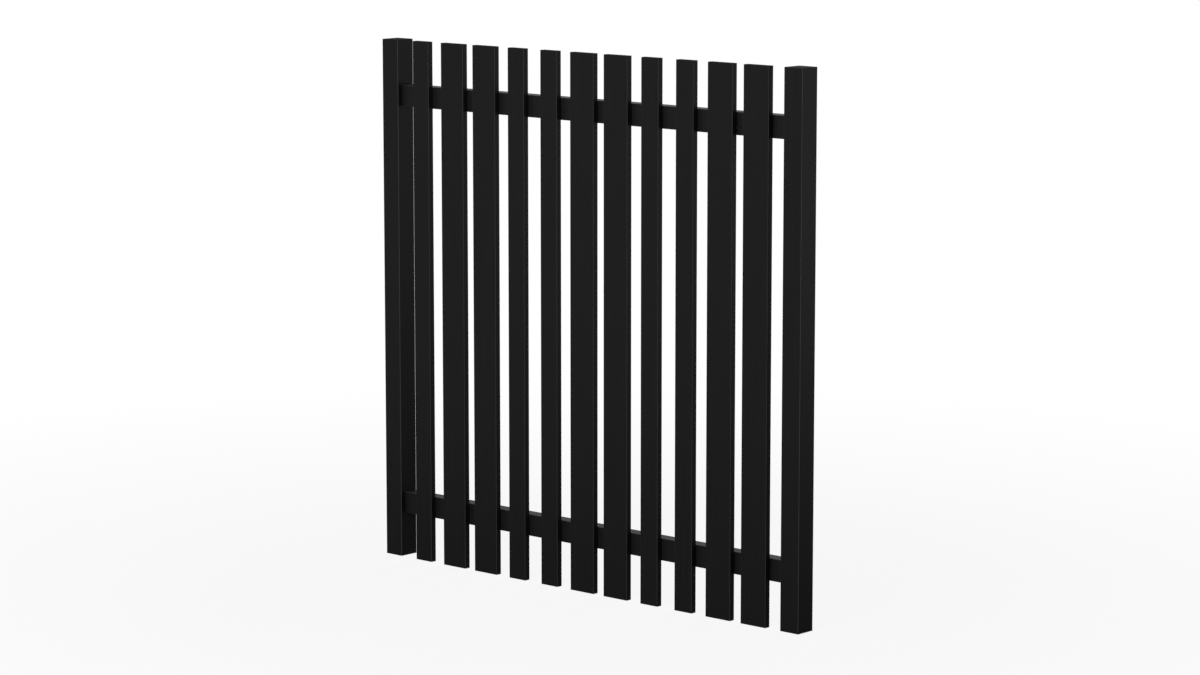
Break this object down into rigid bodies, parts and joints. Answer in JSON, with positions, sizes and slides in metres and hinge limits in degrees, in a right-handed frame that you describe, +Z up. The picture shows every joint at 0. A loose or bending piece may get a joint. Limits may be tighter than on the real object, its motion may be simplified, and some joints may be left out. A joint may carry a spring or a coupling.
{
  "type": "picket fence panel",
  "caption": "Straight black timber picket fence panel: upright boards in two widths on rails between square posts, fixed, open to see through.",
  "frame": {"origin": "centre of the left post's flat foot, seen from the picket side", "axes": "+X along the fence from the left post to the right post, +Y away from the picket side towards the rails' backs, +Z up"},
  "size_m": [1.75, 0.072, 1.7],
  "materials": {
    "painted_timber": "opaque black exterior paint, satin",
    "screws": "black coated steel screw heads, satin"
  },
  "bodies": {
    "root": {"post_left": "painted_timber", "post_right": "painted_timber", "rail_bottom": "painted_timber", "rail_top": "painted_timber", "picket_01": "painted_timber", "picket_02": "painted_timber", "picket_03": "painted_timber", "picket_04": "painted_timber", "picket_05": "painted_timber", "picket_06": "painted_timber", "picket_07": "painted_timber", "picket_08": "painted_timber", "picket_09": "painted_timber", "picket_10": "painted_timber", "picket_11": "painted_timber"}
  },
  "joints": []
}
